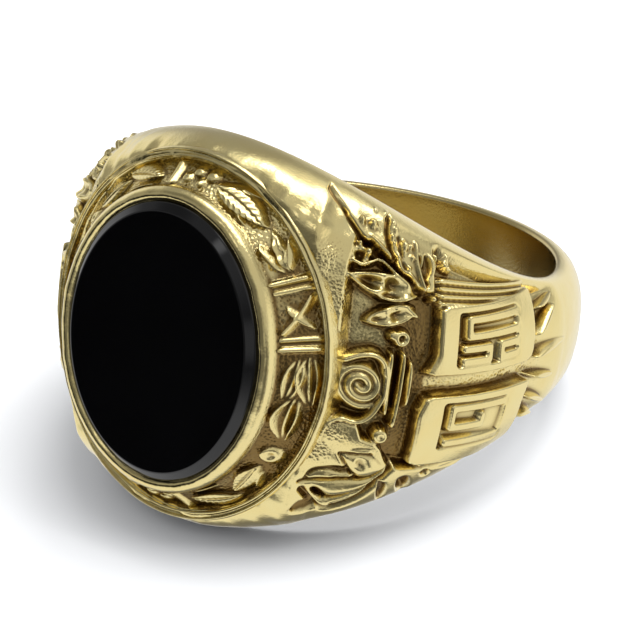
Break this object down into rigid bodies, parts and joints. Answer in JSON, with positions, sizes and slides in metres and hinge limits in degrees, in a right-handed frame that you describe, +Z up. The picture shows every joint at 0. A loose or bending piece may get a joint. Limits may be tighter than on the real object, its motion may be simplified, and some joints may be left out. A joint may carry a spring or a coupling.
{
  "type": "class ring",
  "caption": "Gold class ring with a flat oval black stone in a bezel, a sunk ornamental border, and relief shoulders with fret tablets, lying on its side.",
  "frame": {"origin": "centre of the finger hole", "axes": "+Z up, as the ring lies on its side; the stone faces -Y and a little upwards; the finger hole runs along +Z, leaning towards +Y by the ring's own taper; +X across the ring"},
  "size_m": [0.0236, 0.0259, 0.0175],
  "materials": {
    "gold": "polished cast yellow gold, brown patina in the recesses of the relief",
    "onyx": "opaque black, polished to a mirror gloss, flat top with a narrow bevel"
  },
  "bodies": {
    "root": {"band_and_setting": "gold", "onyx_stone": "onyx"}
  },
  "joints": []
}
